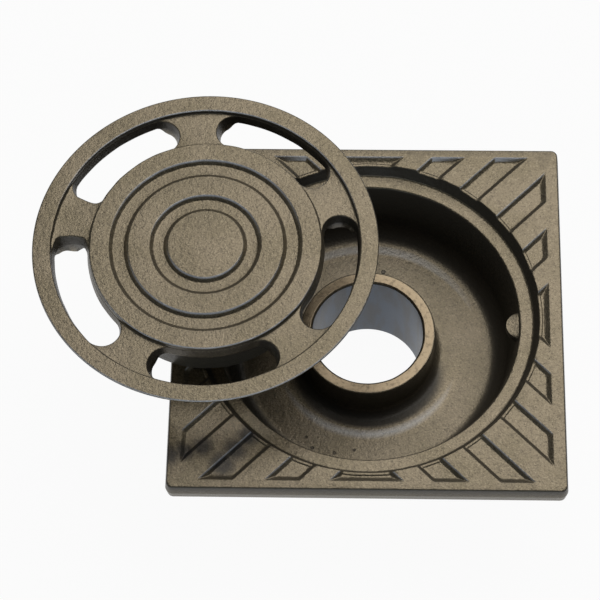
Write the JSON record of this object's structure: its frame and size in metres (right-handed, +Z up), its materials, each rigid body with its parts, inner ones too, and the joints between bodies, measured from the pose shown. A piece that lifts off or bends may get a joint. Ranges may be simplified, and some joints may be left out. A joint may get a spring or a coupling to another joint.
{
  "type": "gully trap",
  "caption": "Cast-iron floor gully trap: square frame plate with a round bowl, standpipe and bottom outlet spigot, and a spoked bell cover lifted off its seat.",
  "frame": {"origin": "centre of the outlet spigot's lower end, on the shared axis of spigot, standpipe and bowl", "axes": "+Z up out of the bowl along the outlet's axis, X and Y along the sides of the frame plate, +X towards the lug in the bowl; the lifted-off cover stands towards -X"},
  "size_m": [0.2692, 0.2049, 0.114],
  "materials": {
    "coated_iron": "sand-cast, thin brown bituminous coat, satin"
  },
  "bodies": {
    "root": {"trap_body": "coated_iron", "bell_cover": "coated_iron"}
  },
  "joints": []
}
